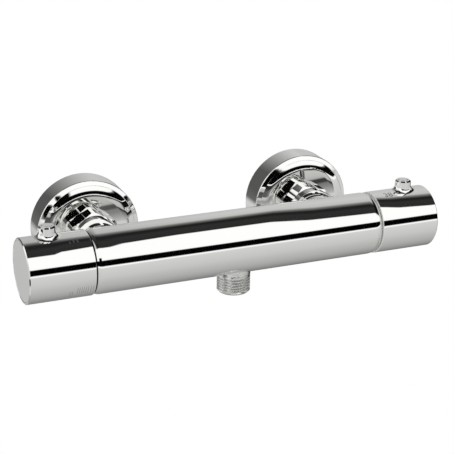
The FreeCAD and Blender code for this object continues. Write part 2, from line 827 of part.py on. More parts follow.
def handle_shell():
    """The cast handle: a tube the width of the bar, with the peg growing out of it in one flare."""
    bevel = handle_edge_bevel
    blank = turned([(handle_start, 0), (handle_start, bar_radius, handle_seam_round),
                    (handle_end - bevel, bar_radius), (handle_end, bar_radius - bevel), (handle_end, 0)])
    peg = turned([(0, 0), (0, peg_diameter / 2), (peg_top - peg_edge_bevel, peg_diameter / 2),
                  (peg_top, peg_diameter / 2 - peg_edge_bevel), (peg_top, 0)])
    blank = blank.fuse(upright(peg, peg_x))
    blank = blank.makeFillet(peg_base_round, [edge for edge in blank.Edges if is_peg_foot(edge)])
    hollow = turned([(handle_start - over, 0), (handle_start - over, handle_bore), (cap_ledge, handle_bore),
                     (cap_ledge, cap_radius + seated_fit), (handle_end + over, cap_radius + seated_fit),
                     (handle_end + over, 0)])
    button_way = upright(tube(0, peg_top + over, button_radius + running_fit), peg_x)
    return blank.cut([hollow, button_way])


def end_cap():
    """The disc pressed into the handle's end, with a spigot behind it."""
    face = handle_end - 2 * running_fit
    spigot = handle_bore - running_fit
    spigot_bore = spigot - cap_spigot_wall
    spigot_start = cap_ledge - cap_spigot_length
    return turned([(cap_ledge, 0), (cap_ledge, spigot_bore), (spigot_start, spigot_bore), (spigot_start, spigot),
                   (cap_ledge, spigot), (cap_ledge, cap_radius), (face - cap_bevel, cap_radius),
                   (face, cap_radius - cap_bevel), (face, 0)])


def handle_insert():
    """The moulded insert: a toothed hub, a web with ribs, an outer ring and the button's shelf."""
    inner = insert_radius - insert_wall
    hub_start = spline_start + free_gap
    tooth_root = spline_radius - spline_depth + 2 * running_fit
    ring = tube(insert_start, insert_end, insert_radius, inner)
    hub = tube(hub_start, hub_end, hub_radius, spline_radius + running_fit)
    web = tube(hub_end, web_end, inner + running_fit, screw_diameter / 2 + free_gap / 2)
    tooth = block(hub_start, hub_end, spline_tooth_width / 2 - running_fit, tooth_root, spline_radius + free_gap)
    rib = block(insert_start + rib_place, hub_end, rib_thickness / 2, hub_radius - free_gap, inner + running_fit)
    shelf = block(web_end - over, arm_end + 2 * free_gap, shelf_width / 2, shelf_top - shelf_thickness, shelf_top)
    solid = ring.fuse([hub, web, shelf] + around(tooth, spline_teeth) + around(rib, 6)[1:])
    pressed = arm_low - button_travel - free_gap
    slot = block(insert_start - over, arm_end + free_gap, button_arm_width / 2 + free_gap, pressed, bar_radius)
    stem_way = upright(tube(pressed, bar_radius, button_radius + free_gap), peg_x)
    return solid.cut([slot, stem_way])


def handle_screw():
    """The screw that holds the handle to its spindle."""
    thread = screw_diameter / 2
    head = screw_head_diameter / 2
    tip = spline_end - screw_length
    head_end = web_end + screw_head_height
    shape = turned([(tip, 0), (tip, thread - 0.5), (tip + 0.5, thread), (web_end, thread), (web_end, head),
                    (head_end, head, 0.8), (head_end, 0)])
    return shape.cut(hexagon(head_end - 2.2, head_end + over, 3.0, 3.6))


def push_button():
    """The button in the peg, with a foot under the shell and the arm that reaches the stop ring."""
    top = peg_top + button_rise
    stem = turned([(arm_low, 0), (arm_low, button_radius), (top, button_radius, 0.5), (top, 0)])
    arm = block(arm_start, arm_end, button_arm_width / 2, arm_low, arm_high)
    return upright(stem, peg_x).fuse(arm)


def button_spring():
    """The coil under the button."""
    return upright(coil(shelf_top, arm_low, 1.7, 0.5, 4), peg_x)


def stop_ring(inner, lug_angle):
    """The ring on the body's end whose lug the button's arm passes."""
    shape = tube(body_end, stop_base, stop_outer, inner)
    lug_end = arm_start - free_gap
    lug = Part.makeCylinder(stop_outer, lug_end - stop_base, Vector(stop_base, 0, 0), along_x, 16)
    lug = lug.cut(tube(stop_base - over, lug_end + over, arm_low - 2 * free_gap))
    return shape.fuse(turned_by(lug, lug_angle))


# ---- building everything ------------------------------------------------------------------------

def build_unions():
    """The pieces between the wall and the bar, the same on both sides but for the nut's turn."""
    for word, side, nut_angle in (("left", -1, -31.8), ("right", 1, -45.0)):
        pieces = {"wall_flange": wall_flange(), "eccentric_union": eccentric_union(),
                  "union_nut": union_nut(nut_angle), "inlet_nipple": inlet_nipple(),
                  "inlet_washer": inlet_washer(), "inlet_filter": inlet_filter(),
                  "check_valve_housing": check_housing(), "check_valve_poppet": check_poppet(),
                  "check_valve_spring": check_spring()}
        for name, shape in pieces.items():
            export(name + "_" + word, inlet_axis(shape, side))


def build_thermostat():
    """The cartridge on the right and the spindle that sets it."""
    export("cartridge_housing", cartridge_housing())
    export("cartridge_o_rings", rings(cartridge_seal_places, land_radius - cartridge_seal / 2, cartridge_seal))
    export("cartridge_bonnet", cartridge_bonnet())
    export("cartridge_retaining_nut", cartridge_nut())
    export("regulating_shuttle", regulating_shuttle())
    export("wax_element", wax_element())
    export("return_spring", return_spring())
    export("regulating_screw", regulating_screw())
    export("overload_plunger", overload_plunger())
    export("overload_spring", overload_spring())
    export("temperature_spindle", temperature_spindle())
    export("temperature_spindle_seals", spindle_seals(temperature_seal_places, spindle_journal / 2))
    export("temperature_spindle_clip", spindle_clip(temperature_clip, spindle_journal / 2))
    export("temperature_stop_ring", stop_ring(neck_radius + running_fit, 110))


def build_headwork():
    """The ceramic valve on the left and its spindle."""
    export("headwork_body", headwork_body(), -1)
    export("headwork_seat_seal", seat_seal(), -1)
    export("fixed_ceramic_disc", ceramic_disc(fixed_disc_start, 95), -1)
    export("moving_ceramic_disc", moving_disc(), -1)
    export("flow_spindle", flow_spindle(), -1)
    export("flow_spindle_seals", spindle_seals(flow_seal_places, flow_journal / 2), -1)
    export("flow_spindle_clip", spindle_clip(flow_clip, flow_journal / 2), -1)
    export("flow_stop_ring", stop_ring(headwork_flange / 2 + running_fit, 150), -1)


def build_handles():
    """The two handles, mirror images of one another."""
    for word, side in (("flow", -1), ("temperature", 1)):
        pieces = {"handle": handle_shell(), "end_cap": end_cap(), "handle_insert": handle_insert(),
                  "handle_screw": handle_screw(), "button": push_button(), "button_spring": button_spring()}
        for name, shape in pieces.items():
            export(word + "_" + name, shape, side)


export("valve_body", valve_body())
export("outlet_nipple", outlet_nipple())
export("outlet_seal", outlet_seal())
build_unions()
build_thermostat()
build_headwork()
build_handles()

os.makedirs("parts", exist_ok=True)
for name, shape in made.items():
    shape.exportStep("parts/" + name + ".step")
    print(name, len(shape.Solids), shape.isValid(), round(shape.Volume, 1))
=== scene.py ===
"""Looks of a thermostatic bar shower valve: a chrome bar on two wall unions, with a handle at each end."""

import json
import logging
import math
from abc import ABC, abstractmethod
from dataclasses import dataclass, field
from enum import Enum

import bmesh
import bpy
from mathutils import Matrix, Vector


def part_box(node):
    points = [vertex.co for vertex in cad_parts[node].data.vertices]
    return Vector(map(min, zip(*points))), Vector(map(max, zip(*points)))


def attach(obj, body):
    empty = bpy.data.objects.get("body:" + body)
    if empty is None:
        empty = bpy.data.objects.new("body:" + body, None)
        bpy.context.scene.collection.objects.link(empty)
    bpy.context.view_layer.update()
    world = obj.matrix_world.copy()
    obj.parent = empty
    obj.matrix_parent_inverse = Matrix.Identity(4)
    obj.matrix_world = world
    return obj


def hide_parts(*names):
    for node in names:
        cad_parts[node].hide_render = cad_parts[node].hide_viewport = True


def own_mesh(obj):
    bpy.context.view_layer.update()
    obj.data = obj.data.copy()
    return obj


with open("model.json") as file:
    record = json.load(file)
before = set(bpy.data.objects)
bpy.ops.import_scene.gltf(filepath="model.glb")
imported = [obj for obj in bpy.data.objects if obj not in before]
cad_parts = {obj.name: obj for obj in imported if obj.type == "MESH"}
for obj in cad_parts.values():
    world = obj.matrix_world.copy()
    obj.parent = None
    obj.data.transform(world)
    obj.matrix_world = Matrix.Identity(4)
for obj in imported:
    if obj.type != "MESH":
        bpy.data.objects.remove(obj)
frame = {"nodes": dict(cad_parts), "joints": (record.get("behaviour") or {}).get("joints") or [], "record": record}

logging.basicConfig(level=logging.INFO, format="%(levelname)s %(name)s: %(message)s")
log = logging.getLogger("shower_valve")

Piece = bpy.types.Object
Mesh = bpy.types.Mesh
Socket = bpy.types.NodeSocket
Inputs = dict[int | str, object]
Colour = tuple[float, float, float, float]
Range = tuple[float, float]
Greys = tuple[tuple[float, float], ...]

MM = 0.001
AXIS_Y = -76.7
AXIS_Z = -0.8
ALONG_BAR = Vector((1.0, 0.0, 0.0))
TO_WALL = Vector((0.0, 1.0, 0.0))
BAR_CENTRE = Vector((0.0, AXIS_Y, AXIS_Z))
# the seams between bar and handles, as a range of distances from the bar's middle, in mm
SEAM: Range = (93.8, 94.8)


class Side(Enum):
    """The two ends of the bar, as seen by someone who uses the shower."""

    LEFT = -1
    RIGHT = 1


class Grain(Enum):
    """Which way a surface's fine marks run, as the axis of the row frame that they run round."""

    ROUND_BAR = "X"
    ROUND_UNION = "Y"


# ---- colours and nodes --------------------------------------------------------------------------


def linear(code: str) -> Colour:
    """Turn an sRGB hex colour into Blender's linear one.

    Args:
        code: six hex digits.

    Returns:
        Red, green, blue and an alpha of 1.
    """
    parts = [int(code[i : i + 2], 16) / 255 for i in (0, 2, 4)]
    red, green, blue = (p / 12.92 if p <= 0.04045 else ((p + 0.055) / 1.055) ** 2.4 for p in parts)
    return red, green, blue, 1.0


def grey(level: float) -> Colour:
    """Turn an sRGB grey of 0 to 255, as it shows on screen, into Blender's linear colour."""
    return linear(f"{round(level):02x}" * 3)


class Nodes:
    """The node tree of a material or of the world."""

    def __init__(self, owner: bpy.types.Material | bpy.types.World) -> None:
        """Switch on the nodes of a material or a world, and clear them."""
        owner.use_nodes = True
        self.tree = owner.node_tree
        self.tree.nodes.clear()

    def feed(self, node: bpy.types.Node, inputs: Inputs) -> None:
        """Set a node's inputs.

        Args:
            node: the node.
            inputs: each input's own value, or the output that feeds it.
        """
        for key, source in inputs.items():
            if isinstance(source, Socket):
                self.tree.links.new(source, node.inputs[key])
            else:
                node.inputs[key].default_value = source

    def add(self, kind: str, inputs: Inputs | None = None, **settings: object) -> bpy.types.Node:
        """Add a shader node.

        Args:
            kind: the node's type, without the ShaderNode in front.
            inputs: each input's own value, or the output that feeds it.
            settings: attributes of the node.

        Returns:
            The new node.
        """
        node = self.tree.nodes.new("ShaderNode" + kind)
        for name, value in settings.items():
            setattr(node, name, value)
        self.feed(node, inputs or {})
        return node

    def spread(self, value: Socket, low: float, high: float) -> Socket:
        """Turn a range of a value into 0 to 1, and what lies outside it into 0 or 1."""
        return self.add("MapRange", {0: value, 1: low, 2: high}).outputs[0]

    def blend(self, share: Socket, none: Socket | Colour, full: Socket | Colour) -> Socket:
        """Go from one colour to another as the share goes from 0 to 1."""
        return self.add("Mix", {0: share, 6: none, 7: full}, data_type="RGBA").outputs[2]


class Surface(Nodes):
    """A material's node tree with its shader, and the patterns of real surfaces."""

    def __init__(self, owner: bpy.types.Material) -> None:
        """Put the shader in the material's tree."""
        super().__init__(owner)
        self.shader = self.add("BsdfPrincipled")
        self.add("OutputMaterial", {"Surface": self.shader.outputs[0]})

    def shade(self, inputs: Inputs) -> None:
        """Set the shader's own inputs."""
        self.feed(self.shader, inputs)

    def tint(self, share: Socket, one: str, other: str) -> None:
        """Colour the surface with two sRGB hex colours, with the second one as far as the share goes."""
        self.shade({"Base Color": self.blend(share, linear(one), linear(other))})

    def place(self) -> Socket:
        """Give the point on the object, in metres, as a pattern's input."""
        return self.add("TexCoord").outputs["Object"]

    def noise(self, grain_mm: float, detail: float = 2.0, distortion: float = 0.0) -> Socket:
        """Add a noise whose lumps are about as large as a real grain.

        Args:
            grain_mm: the size of one lump.
            detail: how many finer layers it has.
            distortion: how far its lumps are drawn out and curled.

        Returns:
            The noise's value, from 0 to 1.
        """
        sizes = {"Scale": 1 / (grain_mm * MM), "Detail": detail, "Distortion": distortion}
        return self.add("TexNoise", {"Vector": self.place(), **sizes}).outputs[0]

    def between(self, pattern: Socket, low: float = 0.0, high: float = 1.0) -> Socket:
        """Spread the middle of a pattern, from 0.3 to 0.7, over a range of values.

        Args:
            pattern: the pattern's value.
            low: what it gives where the pattern is low.
            high: what it gives where the pattern is high.

        Returns:
            The value within that range.
        """
        ends = {"From Min": 0.3, "From Max": 0.7, "To Min": low, "To Max": high}
        return self.add("MapRange", {"Value": pattern, **ends}).outputs[0]

    def turning_marks(self, grain: Grain, pitch_mm: float) -> Socket:
        """Draw the fine lines that a lathe's tool leaves, as rings that follow the piece's own axis.

        Args:
            grain: which axis the piece was turned about.
            pitch_mm: the distance from line to line.

        Returns:
            The lines' value, from 0 to 1.
        """
        # a wave texture's own period is 2 pi / 20 at a scale of 1
        sizes = {"Scale": 2 * math.pi / 20 / (pitch_mm * MM), "Distortion": 0.4, "Detail": 1.0}
        inputs = {"Vector": self.place(), **sizes}
        wave = self.add("TexWave", inputs, wave_type="BANDS", bands_direction=grain.value, wave_profile="SIN")
        return wave.outputs["Fac"]

    def stand_out(self, pattern: Socket, depth_mm: float) -> None:
        """Let a pattern stand out of the surface.

        Args:
            pattern: the pattern's value.
            depth_mm: how far it stands out.
        """
        bump = self.add("Bump", {"Strength": 1.0, "Distance": depth_mm * MM, "Height": pattern})
        self.shade({"Normal": bump.outputs[0]})


# ---- finishes -----------------------------------------------------------------------------------


@dataclass(frozen=True)
class Finish(ABC):
    """A real material and the way that its surface was made."""

    name: str

    def material(self) -> bpy.types.Material:
        """Make the finish, or hand back the one that was made before.

        Returns:
            The Blender material.
        """
        made = bpy.data.materials.get(self.name)
        if made is None:
            made = bpy.data.materials.new(self.name)
            self.paint(Surface(made))
        return made

    @abstractmethod
    def paint(self, surface: Surface) -> None:
        """Set the shader's inputs and add the pattern.

        Args:
            surface: the material's nodes.
        """


@dataclass(frozen=True)
class PolishedChrome(Finish):
    """Chrome plated on polished brass: a cold mirror, whose edges of light waver by a hair."""

    colour: str = "f8f8f6"
    roughness: float = 0.02
    haze: float = 0.015
    haze_mm: float = 9.0
    ripple_mm: float = 14.0
    ripple_depth_mm: float = 0.0012

    def paint(self, surface: Surface) -> None:
        """Set a mirror with a trace of polishing haze and of buffing ripple."""
        haze = surface.noise(self.haze_mm, detail=4.0)
        rough = surface.between(haze, self.roughness, self.roughness + self.haze)
        surface.shade({"Metallic": 1.0, "Base Color": linear(self.colour), "Roughness": rough})
        surface.stand_out(surface.noise(self.ripple_mm, detail=0.0), self.ripple_depth_mm)


@dataclass(frozen=True)
class SeamShadeChrome(PolishedChrome):
    """Chrome with painted shade: it darkens over the bar's last hair before the left seam, so the gap there reads
    dark.
    """

    # painted shade: the dark grey that the bar's chrome turns to at the left seam, and where it starts and is
    # full, in mm
    nickel: str = "2c2b29"
    shade_from_mm: float = 93.3
    shade_full_mm: float = 93.45

    def paint(self, surface: Surface) -> None:
        """Set the mirror, and paint shade on it towards the seam."""
        super().paint(surface)
        # painted shade: the colour goes dark towards the left seam, by the place along the bar
        along = surface.add("SeparateXYZ", {0: surface.place()}).outputs[0]
        share = surface.spread(along, -self.shade_from_mm * MM, -self.shade_full_mm * MM)
        surface.tint(share, self.colour, self.nickel)


@dataclass(frozen=True)
class GroundChrome(Finish):
    """Chrome on an end face that was ground and not buffed: bright but satin, so it shows no picture."""

    colour: str = "e6e6e4"
    roughness: float = 0.5
    metallic: float = 0.35

    def paint(self, surface: Surface) -> None:
        """Set a satin metal."""
        surface.shade({"Metallic": self.metallic, "Roughness": self.roughness})
        surface.shade({"Base Color": linear(self.colour)})


@dataclass(frozen=True)
class PlatedThread(Finish):
    """Brass thread under a thin nickel and chrome flash: grey metal, duller than the polished faces."""

    bright: str = "f4f4f2"
    dull: str = "dededb"
    roughness: float = 0.2
    dull_roughness: float = 0.28

    def paint(self, surface: Surface) -> None:
        """Set plated metal that was never polished, with a fine uneven grain."""
        patches = surface.between(surface.noise(grain_mm=1.6, detail=3.0))
        surface.tint(patches, self.bright, self.dull)
        rough = surface.between(patches, self.roughness, self.dull_roughness)
        surface.shade({"Metallic": 1.0, "Roughness": rough})
        surface.stand_out(surface.noise(grain_mm=0.7), depth_mm=0.0006)


@dataclass(frozen=True)
class EtchedMark(Finish):
    """Chrome that a laser has etched: the same metal, greyer and matt, so it shows only by its dullness."""

    colour: str = "a6a8aa"
    roughness: float = 0.36

    def paint(self, surface: Surface) -> None:
        """Set a frosted metal with the laser's raster."""
        surface.shade({"Metallic": 1.0, "Base Color": linear(self.colour), "Roughness": self.roughness})
        # the real raster is about 0.03 mm, too fine to show, so it is drawn as coarse as it needs to show
        surface.stand_out(surface.turning_marks(Grain.ROUND_BAR, pitch_mm=0.12), depth_mm=0.004)


@dataclass(frozen=True)
class TurnedBrass(Finish):
    """Free-cutting brass from the lathe: warm, with tool marks, and duller where it has tarnished."""

    bright: str = "d9bd7c"
    tarnished: str = "b4935a"
    roughness: float = 0.26
    tarnished_roughness: float = 0.4
    tool_pitch_mm: float = 0.35
    grain: Grain = Grain.ROUND_BAR

    def paint(self, surface: Surface) -> None:
        """Set turned brass with a patchy tarnish."""
        patches = surface.between(surface.noise(grain_mm=6.0, detail=3.0))
        surface.tint(patches, self.bright, self.tarnished)
        rough = surface.between(patches, self.roughness, self.tarnished_roughness)
        surface.shade({"Metallic": 1.0, "Roughness": rough})
        surface.stand_out(surface.turning_marks(self.grain, self.tool_pitch_mm), depth_mm=0.006)


@dataclass(frozen=True)
class DrawnSteel(Finish):
    """Stainless steel, drawn or rolled: bright and neutral, with faint lines along the draw."""

    colour: str = "c6c7c8"
    roughness: float = 0.24
    scratched_roughness: float = 0.36
    # how many of the die's scratches there are to the metre, along the draw and across it
    scratches: tuple[float, float, float] = (120.0, 2200.0, 2200.0)

    def paint(self, surface: Surface) -> None:
        """Set steel with the die's long scratches."""
        drawn = surface.add("Mapping", {"Vector": surface.place(), "Scale": self.scratches}).outputs[0]
        lines = surface.add("TexNoise", {"Vector": drawn, "Scale": 1.0, "Detail": 2.0}).outputs[0]
        rough = surface.between(lines, self.roughness, self.scratched_roughness)
        surface.shade({"Metallic": 1.0, "Base Color": linear(self.colour), "Roughness": rough})
        surface.stand_out(lines, depth_mm=0.003)


@dataclass(frozen=True)
class Mottled(Finish):
    """A surface of two tones that follow a noise, and a relief that has its own grain or follows the tones.

    The relief is left out where its depth is 0.
    """

    tones: tuple[str, str]
    inputs: dict[str, float]
    grain_mm: float
    detail: float = 3.0
    distortion: float = 0.0
    relief_grain_mm: float = 0.0
    relief_depth_mm: float = 0.0

    def paint(self, surface: Surface) -> None:
        """Set the tones, the shader's own inputs and the relief."""
        tones = surface.noise(self.grain_mm, self.detail, self.distortion)
        surface.tint(surface.between(tones), *self.tones)
        surface.shade(self.inputs)
        if self.relief_depth_mm:
            relief = surface.noise(self.relief_grain_mm) if self.relief_grain_mm else tones
            surface.stand_out(relief, self.relief_depth_mm)


CHROME = PolishedChrome("chrome_plated_brass_polished")
# polished chrome with painted shade by the bar's left seam
SHADED_BAR_CHROME = SeamShadeChrome("chrome_plated_brass_thin_at_the_seam")
GROUND = GroundChrome("chrome_plated_brass_ground")
THREAD = PlatedThread("brass_thread_plated")
ETCHED = EtchedMark("chrome_laser_etched")
FAINT = EtchedMark("chrome_laser_etched_lightly", colour="c4c5c6", roughness=0.3)
UNION_BRASS = TurnedBrass("brass_turned_round_the_union", grain=Grain.ROUND_UNION)
# painted shade in the seam gap: the bar's left end face gets a dark, dull metal, so the gap reads as a gap
SEAM_SHADE = Mottled(
    "nickel_plate_in_recess",
    tones=("4a4946", "3b3a37"),
    inputs={"Metallic": 1.0, "Roughness": 0.42},
    grain_mm=2.0,
)
# black EPDM rubber, moulded: matt, with a soft sheen at the edges, a dusty bloom and the mould's fine skin
RUBBER = Mottled(
    "epdm_rubber_moulded",
    tones=("1b1b1c", "303031"),
    inputs={"IOR": 1.52, "Roughness": 0.62, "Sheen Weight": 0.08},
    grain_mm=2.5,
    relief_grain_mm=0.25,
    relief_depth_mm=0.008,
)
# aramid fibre sheet, stamped: a dull green-grey felt with paler fibres lying every way
FIBRE = Mottled(
    "aramid_fibre_stamped",
    tones=("5c6b60", "93a294"),
    inputs={"Roughness": 0.85},
    grain_mm=0.9,
    detail=6.0,
    distortion=2.5,
    relief_depth_mm=0.03,
)
# white acetal, injection moulded: a waxy satin that lets a little light in, with the mould's spark texture
ACETAL = Mottled(
    "acetal_moulded",
    tones=("e9e9e4", "e2e2db"),
    inputs={"IOR": 1.48, "Roughness": 0.36, "Subsurface Weight": 0.12, "Subsurface Scale": 1.5 * MM},
    grain_mm=7.0,
    detail=2.0,
    relief_grain_mm=0.2,
    relief_depth_mm=0.003,
)
# grey nylon filled with glass, injection moulded: matt, with short fibres that show as flecks
NYLON = Mottled(
    "glass_filled_nylon_moulded",
    tones=("6b6d71", "84868a"),
    inputs={"IOR": 1.53, "Roughness": 0.5},
    grain_mm=0.7,
    detail=5.0,
    distortion=1.2,
    relief_depth_mm=0.006,
)
# alumina ceramic, fired and lapped: dense ivory with a faint mottle, smooth enough to shine
ALUMINA = Mottled(
    "alumina_lapped",
    tones=("ece8dd", "e2ddcf"),
    inputs={"IOR": 1.76, "Roughness": 0.14},
    grain_mm=1.1,
    detail=4.0,
    relief_grain_mm=0.3,
    relief_depth_mm=0.001,
)
FINISH_OF_SLOT: dict[str, Finish] = {
    "polished_chrome": CHROME,
    "machined_brass": TurnedBrass("brass_turned"),
    "stainless_steel": DrawnSteel("stainless_steel_drawn"),
    "black_rubber": RUBBER,
    "sealing_fibre": FIBRE,
    "white_acetal": ACETAL,
    "grey_polymer": NYLON,
    "lapped_ceramic": ALUMINA,
}
SLOT_OF_NODE: dict[str, str] = {p["node"]: p["material_slot"] for p in frame["record"]["subparts"]}


# ---- shapes that the pieces share ---------------------------------------------------------------

# points nearer to each other than this, in mm, are one point
WELD = 0.002
# polish_round leaves alone what is nearer to the axis than this, in mm
CORE = 0.5
# it leaves alone a normal whose part in the plane through the axis is shorter than this
IN_PLANE = 0.985
# it tells the faces that meet in one ring apart by steps of this many degrees
LEAN_STEP = 16


def smooth(piece: Piece, crease_deg: float) -> None:
    """Shade a piece smooth, with hard edges where its faces meet at more than an angle.

    Args:
        piece: the object.
        crease_deg: the angle from which an edge is sharp.
    """
    for face in piece.data.polygons:
        face.use_smooth = True
    weld = piece.modifiers.new("joined_seams", "WELD")
    weld.merge_threshold = WELD * MM
    split = piece.modifiers.new("sharp_edges", "EDGE_SPLIT")
    split.split_angle = math.radians(crease_deg)
    weighted = piece.modifiers.new("flat_faces_lead", "WEIGHTED_NORMAL")
    weighted.mode = "FACE_AREA_WITH_ANGLE"
    weighted.keep_sharp = True
    weighted.weight = 80


def dress(node: str, own: Finish | None = None) -> Piece:
    """Give a CAD node its finish and smooth shading.

    Args:
        node: the node's name.
        own: its own finish, where that isn't the one of its slot.

    Returns:
        The node's object.
    """
    piece = frame["nodes"][node]
    finish = own or FINISH_OF_SLOT[SLOT_OF_NODE[node]]
    piece.data.materials.clear()
    piece.data.materials.append(finish.material())
    for face in piece.data.polygons:
        face.use_smooth = True
    log.info("dressed %s in %s", node, finish.name)
    return piece


def polish_round(piece: Piece, axis: Vector, centre: Vector, inner: float = 0.0) -> None:
    """Make a turned piece's shading as round as the real one, so that its reflections run true.

    Args:
        piece: the object.
        axis: the direction that it was turned about.
        centre: a point on that axis, in mm.
        inner: the radius in mm inside which the shading is left as it is.
    """
    mesh = piece.data
    normals = [Vector(n.vector) for n in mesh.vertex_normals]
    for corner, loop in zip(mesh.corner_normals, mesh.loops):
        normals[loop.vertex_index] = Vector(corner.vector)
    rings: dict[tuple[float, ...], list[tuple[int, Vector, float, float]]] = {}
    for index, vertex in enumerate(mesh.vertices):
        place_mm = vertex.co / MM - centre
        distance = place_mm.dot(axis)
        away = place_mm - axis * distance
        if away.length < max(inner, CORE):
            continue
        out = away.normalized()
        lengthwise, outwards = normals[index].dot(axis), normals[index].dot(out)
        if math.hypot(lengthwise, outwards) < IN_PLANE:
            continue
        lean = round(math.degrees(math.atan2(lengthwise, outwards)) / LEAN_STEP)
        key = (round(distance, 2), round(away.length, 2), lean)
        rings.setdefault(key, []).append((index, out, lengthwise, outwards))
    for ring in rings.values():
        lengthwise = sum(r[2] for r in ring) / len(ring)
        outwards = sum(r[3] for r in ring) / len(ring)
        for index, out, _, _ in ring:
            normals[index] = (axis * lengthwise + out * outwards).normalized()
    mesh.normals_split_custom_set_from_vertices([tuple(n) for n in normals])


def finish_ends(piece: Piece, radius: float, finishes: dict[Side, Finish], facing: float = 0.9) -> None:
    """Give the end faces that stand in the seams between bar and handles their own finish, such as the painted
    shade in the bar's left seam.

    Args:
        piece: the object.
        radius: the radius in mm outside which a face keeps the piece's finish.
        finishes: what each side's end face is finished with.
        facing: how squarely a face has to look along the bar, from 0 to 1.
    """
    for number, (side, finish) in enumerate(finishes.items(), 1):
        piece.data.materials.append(finish.material())
        for face in piece.data.polygons:
            place_mm = face.center / MM - BAR_CENTRE
            in_seam = SEAM[0] < place_mm.x * side.value < SEAM[1]
            inside = math.hypot(place_mm.y, place_mm.z) < radius
            if in_seam and inside and abs(face.normal.x) > facing:
                face.material_index = number


def put(name: str, data: bpy.types.ID) -> Piece:
    """Put a new object in the scene.

    Args:
        name: the object's name.
        data: its mesh, curve, lamp or camera.

    Returns:
        The new object.
    """
    made = bpy.data.objects.new(name, data)
    bpy.context.scene.collection.objects.link(made)
    return made


def add_piece(name: str, mesh: Mesh, body: str, finish: Finish) -> Piece:
    """Put a new piece in the scene, on the body that it moves with.

    Args:
        name: the piece's name.
        mesh: its mesh, in the row frame.
        body: the CAD body that it rides on.
        finish: what it is finished with.

    Returns:
        The new object.
    """
    piece = put(name, mesh)
    mesh.materials.clear()
    mesh.materials.append(finish.material())
    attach(piece, body)
    log.info("made %s on %s", name, body)
    return piece


def mesh_of(name: str, points: list[Vector], faces: list[list[int]]) -> Mesh:
    """Make a mesh whose faces all look outwards.

    Args:
        name: the mesh's name.
        points: its points, in metres.
        faces: each face's points, by number.

    Returns:
        The mesh.
    """
    mesh = bpy.data.meshes.new(name)
    mesh.from_pydata([tuple(p) for p in points], [], faces)
    build = bmesh.new()
    build.from_mesh(mesh)
    bmesh.ops.recalc_face_normals(build, faces=build.faces)
    build.to_mesh(mesh)
    build.free()
    return mesh


def outwards_of(along: Vector, step: int, steps_round: int) -> Vector:
    """Give the direction away from an axis after some steps round it.

    Args:
        along: the axis.
        step: how many steps.
        steps_round: how many steps make one turn.

    Returns:
        The direction, of length 1.
    """
    side = along.orthogonal().normalized()
    other = along.cross(side)
    angle = 2 * math.pi * step / steps_round
    return side * math.cos(angle) + other * math.sin(angle)


@dataclass(frozen=True)
class ThreadSize:
    """A G 1/2 pipe thread: radius, pitch and depth in mm, and its form along one pitch."""

    outer_radius: float = 10.4775
    pitch: float = 1.814
    depth: float = 1.162
    # places along one pitch, and the share of the depth cut away there: root, flank, round crest, flank
    form: tuple[tuple[float, float], ...] = (
        (0.0, 1.0), (0.12, 1.0), (0.38, 0.06), (0.5, 0.0), (0.62, 0.06), (0.88, 1.0),
    )
    # over how many mm the depth fades in at the thread's start and out at its end
    fade_in: float = 0.9
    fade_out: float = 1.3


